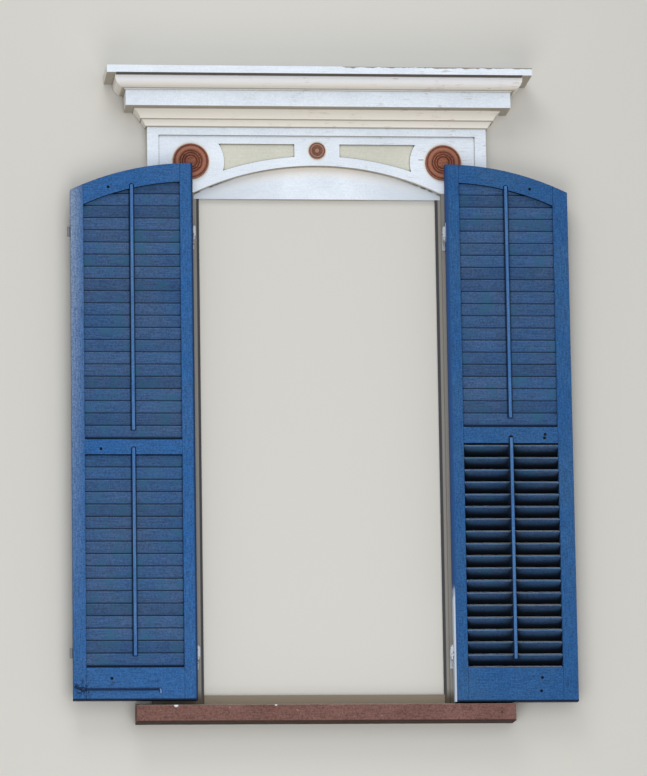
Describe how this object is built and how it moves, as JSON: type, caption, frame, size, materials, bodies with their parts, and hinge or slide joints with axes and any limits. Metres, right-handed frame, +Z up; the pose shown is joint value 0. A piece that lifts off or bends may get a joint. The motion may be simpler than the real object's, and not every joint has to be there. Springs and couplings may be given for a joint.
{
  "type": "louvred shutters",
  "caption": "Pair of arch-topped louvred window shutters hung open on a white wooden surround with hood, frieze, rosettes and sill; leaves swing, lower louvres tilt with their rods.",
  "frame": {"origin": "middle of the sill's flat back face, on the wall", "axes": "+X to the right seen from outside, +Y into the wall, +Z up"},
  "size_m": [1.5545, 0.169, 2.026],
  "materials": {
    "blue_paint": "weathered satin oil paint",
    "white_paint": "weathered white paint",
    "stone_paint": "matt stone-coloured paint",
    "terracotta_paint": "satin terracotta paint",
    "red_brown_paint": "weathered red-brown paint",
    "painted_iron": "white paint, chipped",
    "blue_iron": "blue paint over wire"
  },
  "bodies": {
    "surround": {"hood": "white_paint", "frieze": "white_paint", "spandrel_panels": "stone_paint", "rosettes": "terracotta_paint", "arch_panel": "white_paint", "side_casings": "white_paint", "sill": "red_brown_paint", "pintles": "painted_iron"},
    "left_leaf": {"left_hinge_stile": "blue_paint", "left_outer_stile": "blue_paint", "left_top_rail": "blue_paint", "left_lock_rail": "blue_paint", "left_bottom_rail": "blue_paint", "left_upper_louvres": "blue_paint", "left_leaf_irons": "painted_iron"},
    "left_louvre_01": {"left_louvre_01": "blue_paint"},
    "left_louvre_02": {"left_louvre_02": "blue_paint"},
    "left_louvre_03": {"left_louvre_03": "blue_paint"},
    "left_louvre_04": {"left_louvre_04": "blue_paint"},
    "left_louvre_05": {"left_louvre_05": "blue_paint"},
    "left_louvre_06": {"left_louvre_06": "blue_paint"},
    "left_louvre_07": {"left_louvre_07": "blue_paint"},
    "left_louvre_08": {"left_louvre_08": "blue_paint"},
    "left_louvre_09": {"left_louvre_09": "blue_paint"},
    "left_louvre_10": {"left_louvre_10": "blue_paint"},
    "left_louvre_11": {"left_louvre_11": "blue_paint"},
    "left_louvre_12": {"left_louvre_12": "blue_paint"},
    "left_louvre_13": {"left_louvre_13": "blue_paint"},
    "left_louvre_14": {"left_louvre_14": "blue_paint"},
    "left_louvre_15": {"left_louvre_15": "blue_paint"},
    "left_louvre_16": {"left_louvre_16": "blue_paint"},
    "left_louvre_17": {"left_louvre_17": "blue_paint"},
    "left_lower_rod": {"left_lower_rod": "blue_paint"},
    "right_leaf": {"right_hinge_stile": "blue_paint", "right_outer_stile": "blue_paint", "right_top_rail": "blue_paint", "right_lock_rail": "blue_paint", "right_bottom_rail": "blue_paint", "right_upper_louvres": "blue_paint", "right_leaf_irons": "painted_iron"},
    "right_louvre_01": {"right_louvre_01": "blue_paint"},
    "right_louvre_02": {"right_louvre_02": "blue_paint"},
    "right_louvre_03": {"right_louvre_03": "blue_paint"},
    "right_louvre_04": {"right_louvre_04": "blue_paint"},
    "right_louvre_05": {"right_louvre_05": "blue_paint"},
    "right_louvre_06": {"right_louvre_06": "blue_paint"},
    "right_louvre_07": {"right_louvre_07": "blue_paint"},
    "right_louvre_08": {"right_louvre_08": "blue_paint"},
    "right_louvre_09": {"right_louvre_09": "blue_paint"},
    "right_louvre_10": {"right_louvre_10": "blue_paint"},
    "right_louvre_11": {"right_louvre_11": "blue_paint"},
    "right_louvre_12": {"right_louvre_12": "blue_paint"},
    "right_louvre_13": {"right_louvre_13": "blue_paint"},
    "right_louvre_14": {"right_louvre_14": "blue_paint"},
    "right_louvre_15": {"right_louvre_15": "blue_paint"},
    "right_louvre_16": {"right_louvre_16": "blue_paint"},
    "right_louvre_17": {"right_louvre_17": "blue_paint"},
    "right_louvre_18": {"right_louvre_18": "blue_paint"},
    "right_lower_rod": {"right_lower_rod": "blue_paint"},
    "left_hook": {"left_hook": "blue_iron"}
  },
  "joints": [
    {"name": "left_leaf_swing", "type": "hinge", "parent": "surround", "child": "left_leaf", "pos_m": [-0.389, -0.068, 0.185], "axis": [0, 0, 1], "range_deg": [0, 180]},
    {"name": "left_louvre_01_tilt", "type": "hinge", "parent": "left_leaf", "child": "left_louvre_01", "pos_m": [0, -0.068, 0.1585], "axis": [-1, 0, 0], "range_deg": [-140, 0]},
    {"name": "left_louvre_02_tilt", "type": "hinge", "parent": "left_leaf", "child": "left_louvre_02", "pos_m": [0, -0.068, 0.1966], "axis": [-1, 0, 0], "range_deg": [-140, 0]},
    {"name": "left_louvre_03_tilt", "type": "hinge", "parent": "left_leaf", "child": "left_louvre_03", "pos_m": [0, -0.068, 0.2347], "axis": [-1, 0, 0], "range_deg": [-140, 0]},
    {"name": "left_louvre_04_tilt", "type": "hinge", "parent": "left_leaf", "child": "left_louvre_04", "pos_m": [0, -0.068, 0.2728], "axis": [-1, 0, 0], "range_deg": [-140, 0]},
    {"name": "left_louvre_05_tilt", "type": "hinge", "parent": "left_leaf", "child": "left_louvre_05", "pos_m": [0, -0.068, 0.3109], "axis": [-1, 0, 0], "range_deg": [-140, 0]},
    {"name": "left_louvre_06_tilt", "type": "hinge", "parent": "left_leaf", "child": "left_louvre_06", "pos_m": [0, -0.068, 0.349], "axis": [-1, 0, 0], "range_deg": [-140, 0]},
    {"name": "left_louvre_07_tilt", "type": "hinge", "parent": "left_leaf", "child": "left_louvre_07", "pos_m": [0, -0.068, 0.3871], "axis": [-1, 0, 0], "range_deg": [-140, 0]},
    {"name": "left_louvre_08_tilt", "type": "hinge", "parent": "left_leaf", "child": "left_louvre_08", "pos_m": [0, -0.068, 0.4252], "axis": [-1, 0, 0], "range_deg": [-140, 0]},
    {"name": "left_louvre_09_tilt", "type": "hinge", "parent": "left_leaf", "child": "left_louvre_09", "pos_m": [0, -0.068, 0.4633], "axis": [-1, 0, 0], "range_deg": [-140, 0]},
    {"name": "left_louvre_10_tilt", "type": "hinge", "parent": "left_leaf", "child": "left_louvre_10", "pos_m": [0, -0.068, 0.5014], "axis": [-1, 0, 0], "range_deg": [-140, 0]},
    {"name": "left_louvre_11_tilt", "type": "hinge", "parent": "left_leaf", "child": "left_louvre_11", "pos_m": [0, -0.068, 0.5395], "axis": [-1, 0, 0], "range_deg": [-140, 0]},
    {"name": "left_louvre_12_tilt", "type": "hinge", "parent": "left_leaf", "child": "left_louvre_12", "pos_m": [0, -0.068, 0.5776], "axis": [-1, 0, 0], "range_deg": [-140, 0]},
    {"name": "left_louvre_13_tilt", "type": "hinge", "parent": "left_leaf", "child": "left_louvre_13", "pos_m": [0, -0.068, 0.6157], "axis": [-1, 0, 0], "range_deg": [-140, 0]},
    {"name": "left_louvre_14_tilt", "type": "hinge", "parent": "left_leaf", "child": "left_louvre_14", "pos_m": [0, -0.068, 0.6538], "axis": [-1, 0, 0], "range_deg": [-140, 0]},
    {"name": "left_louvre_15_tilt", "type": "hinge", "parent": "left_leaf", "child": "left_louvre_15", "pos_m": [0, -0.068, 0.6919], "axis": [-1, 0, 0], "range_deg": [-140, 0]},
    {"name": "left_louvre_16_tilt", "type": "hinge", "parent": "left_leaf", "child": "left_louvre_16", "pos_m": [0, -0.068, 0.73], "axis": [-1, 0, 0], "range_deg": [-140, 0]},
    {"name": "left_louvre_17_tilt", "type": "hinge", "parent": "left_leaf", "child": "left_louvre_17", "pos_m": [0, -0.068, 0.7681], "axis": [-1, 0, 0], "range_deg": [-140, 0]},
    {"name": "left_lower_rod_pivot", "type": "hinge", "parent": "left_louvre_01", "child": "left_lower_rod", "pos_m": [-0.582, -0.07134, 0.17746], "axis": [-1, 0, 0], "range_deg": [0, 140]},
    {"name": "right_leaf_swing", "type": "hinge", "parent": "surround", "child": "right_leaf", "pos_m": [0.389, -0.068, 0.185], "axis": [0, 0, -1], "range_deg": [0, 180]},
    {"name": "right_louvre_01_tilt", "type": "hinge", "parent": "right_leaf", "child": "right_louvre_01", "pos_m": [0, -0.068, 0.1565], "axis": [-1, 0, 0], "range_deg": [-75, 35]},
    {"name": "right_louvre_02_tilt", "type": "hinge", "parent": "right_leaf", "child": "right_louvre_02", "pos_m": [0, -0.068, 0.1946], "axis": [-1, 0, 0], "range_deg": [-75, 35]},
    {"name": "right_louvre_03_tilt", "type": "hinge", "parent": "right_leaf", "child": "right_louvre_03", "pos_m": [0, -0.068, 0.2327], "axis": [-1, 0, 0], "range_deg": [-75, 35]},
    {"name": "right_louvre_04_tilt", "type": "hinge", "parent": "right_leaf", "child": "right_louvre_04", "pos_m": [0, -0.068, 0.2708], "axis": [-1, 0, 0], "range_deg": [-75, 35]},
    {"name": "right_louvre_05_tilt", "type": "hinge", "parent": "right_leaf", "child": "right_louvre_05", "pos_m": [0, -0.068, 0.3089], "axis": [-1, 0, 0], "range_deg": [-75, 35]},
    {"name": "right_louvre_06_tilt", "type": "hinge", "parent": "right_leaf", "child": "right_louvre_06", "pos_m": [0, -0.068, 0.347], "axis": [-1, 0, 0], "range_deg": [-75, 35]},
    {"name": "right_louvre_07_tilt", "type": "hinge", "parent": "right_leaf", "child": "right_louvre_07", "pos_m": [0, -0.068, 0.3851], "axis": [-1, 0, 0], "range_deg": [-75, 35]},
    {"name": "right_louvre_08_tilt", "type": "hinge", "parent": "right_leaf", "child": "right_louvre_08", "pos_m": [0, -0.068, 0.4232], "axis": [-1, 0, 0], "range_deg": [-75, 35]},
    {"name": "right_louvre_09_tilt", "type": "hinge", "parent": "right_leaf", "child": "right_louvre_09", "pos_m": [0, -0.068, 0.4613], "axis": [-1, 0, 0], "range_deg": [-75, 35]},
    {"name": "right_louvre_10_tilt", "type": "hinge", "parent": "right_leaf", "child": "right_louvre_10", "pos_m": [0, -0.068, 0.4994], "axis": [-1, 0, 0], "range_deg": [-75, 35]},
    {"name": "right_louvre_11_tilt", "type": "hinge", "parent": "right_leaf", "child": "right_louvre_11", "pos_m": [0, -0.068, 0.5375], "axis": [-1, 0, 0], "range_deg": [-75, 35]},
    {"name": "right_louvre_12_tilt", "type": "hinge", "parent": "right_leaf", "child": "right_louvre_12", "pos_m": [0, -0.068, 0.5756], "axis": [-1, 0, 0], "range_deg": [-75, 35]},
    {"name": "right_louvre_13_tilt", "type": "hinge", "parent": "right_leaf", "child": "right_louvre_13", "pos_m": [0, -0.068, 0.6137], "axis": [-1, 0, 0], "range_deg": [-75, 35]},
    {"name": "right_louvre_14_tilt", "type": "hinge", "parent": "right_leaf", "child": "right_louvre_14", "pos_m": [0, -0.068, 0.6518], "axis": [-1, 0, 0], "range_deg": [-75, 35]},
    {"name": "right_louvre_15_tilt", "type": "hinge", "parent": "right_leaf", "child": "right_louvre_15", "pos_m": [0, -0.068, 0.6899], "axis": [-1, 0, 0], "range_deg": [-75, 35]},
    {"name": "right_louvre_16_tilt", "type": "hinge", "parent": "right_leaf", "child": "right_louvre_16", "pos_m": [0, -0.068, 0.728], "axis": [-1, 0, 0], "range_deg": [-75, 35]},
    {"name": "right_louvre_17_tilt", "type": "hinge", "parent": "right_leaf", "child": "right_louvre_17", "pos_m": [0, -0.068, 0.7661], "axis": [-1, 0, 0], "range_deg": [-75, 35]},
    {"name": "right_louvre_18_tilt", "type": "hinge", "parent": "right_leaf", "child": "right_louvre_18", "pos_m": [0, -0.068, 0.8042], "axis": [-1, 0, 0], "range_deg": [-75, 35]},
    {"name": "right_lower_rod_pivot", "type": "hinge", "parent": "right_louvre_01", "child": "right_lower_rod", "pos_m": [0.5815, -0.08161, 0.17011], "axis": [-1, 0, 0], "range_deg": [-35, 75]},
    {"name": "left_hook_lift", "type": "hinge", "parent": "left_leaf", "child": "left_hook", "pos_m": [-0.741, -0.087, 0.07], "axis": [0, -1, 0], "range_deg": [0, 15]}
  ],
  "couplings": [
    {"joint": "left_louvre_02_tilt", "follows": "left_louvre_01_tilt", "ratio": 1},
    {"joint": "left_louvre_03_tilt", "follows": "left_louvre_01_tilt", "ratio": 1},
    {"joint": "left_louvre_04_tilt", "follows": "left_louvre_01_tilt", "ratio": 1},
    {"joint": "left_louvre_05_tilt", "follows": "left_louvre_01_tilt", "ratio": 1},
    {"joint": "left_louvre_06_tilt", "follows": "left_louvre_01_tilt", "ratio": 1},
    {"joint": "left_louvre_07_tilt", "follows": "left_louvre_01_tilt", "ratio": 1},
    {"joint": "left_louvre_08_tilt", "follows": "left_louvre_01_tilt", "ratio": 1},
    {"joint": "left_louvre_09_tilt", "follows": "left_louvre_01_tilt", "ratio": 1},
    {"joint": "left_louvre_10_tilt", "follows": "left_louvre_01_tilt", "ratio": 1},
    {"joint": "left_louvre_11_tilt", "follows": "left_louvre_01_tilt", "ratio": 1},
    {"joint": "left_louvre_12_tilt", "follows": "left_louvre_01_tilt", "ratio": 1},
    {"joint": "left_louvre_13_tilt", "follows": "left_louvre_01_tilt", "ratio": 1},
    {"joint": "left_louvre_14_tilt", "follows": "left_louvre_01_tilt", "ratio": 1},
    {"joint": "left_louvre_15_tilt", "follows": "left_louvre_01_tilt", "ratio": 1},
    {"joint": "left_louvre_16_tilt", "follows": "left_louvre_01_tilt", "ratio": 1},
    {"joint": "left_louvre_17_tilt", "follows": "left_louvre_01_tilt", "ratio": 1},
    {"joint": "left_lower_rod_pivot", "follows": "left_louvre_01_tilt", "ratio": -1},
    {"joint": "right_louvre_02_tilt", "follows": "right_louvre_01_tilt", "ratio": 1},
    {"joint": "right_louvre_03_tilt", "follows": "right_louvre_01_tilt", "ratio": 1},
    {"joint": "right_louvre_04_tilt", "follows": "right_louvre_01_tilt", "ratio": 1},
    {"joint": "right_louvre_05_tilt", "follows": "right_louvre_01_tilt", "ratio": 1},
    {"joint": "right_louvre_06_tilt", "follows": "right_louvre_01_tilt", "ratio": 1},
    {"joint": "right_louvre_07_tilt", "follows": "right_louvre_01_tilt", "ratio": 1},
    {"joint": "right_louvre_08_tilt", "follows": "right_louvre_01_tilt", "ratio": 1},
    {"joint": "right_louvre_09_tilt", "follows": "right_louvre_01_tilt", "ratio": 1},
    {"joint": "right_louvre_10_tilt", "follows": "right_louvre_01_tilt", "ratio": 1},
    {"joint": "right_louvre_11_tilt", "follows": "right_louvre_01_tilt", "ratio": 1},
    {"joint": "right_louvre_12_tilt", "follows": "right_louvre_01_tilt", "ratio": 1},
    {"joint": "right_louvre_13_tilt", "follows": "right_louvre_01_tilt", "ratio": 1},
    {"joint": "right_louvre_14_tilt", "follows": "right_louvre_01_tilt", "ratio": 1},
    {"joint": "right_louvre_15_tilt", "follows": "right_louvre_01_tilt", "ratio": 1},
    {"joint": "right_louvre_16_tilt", "follows": "right_louvre_01_tilt", "ratio": 1},
    {"joint": "right_louvre_17_tilt", "follows": "right_louvre_01_tilt", "ratio": 1},
    {"joint": "right_louvre_18_tilt", "follows": "right_louvre_01_tilt", "ratio": 1},
    {"joint": "right_lower_rod_pivot", "follows": "right_louvre_01_tilt", "ratio": -1}
  ]
}
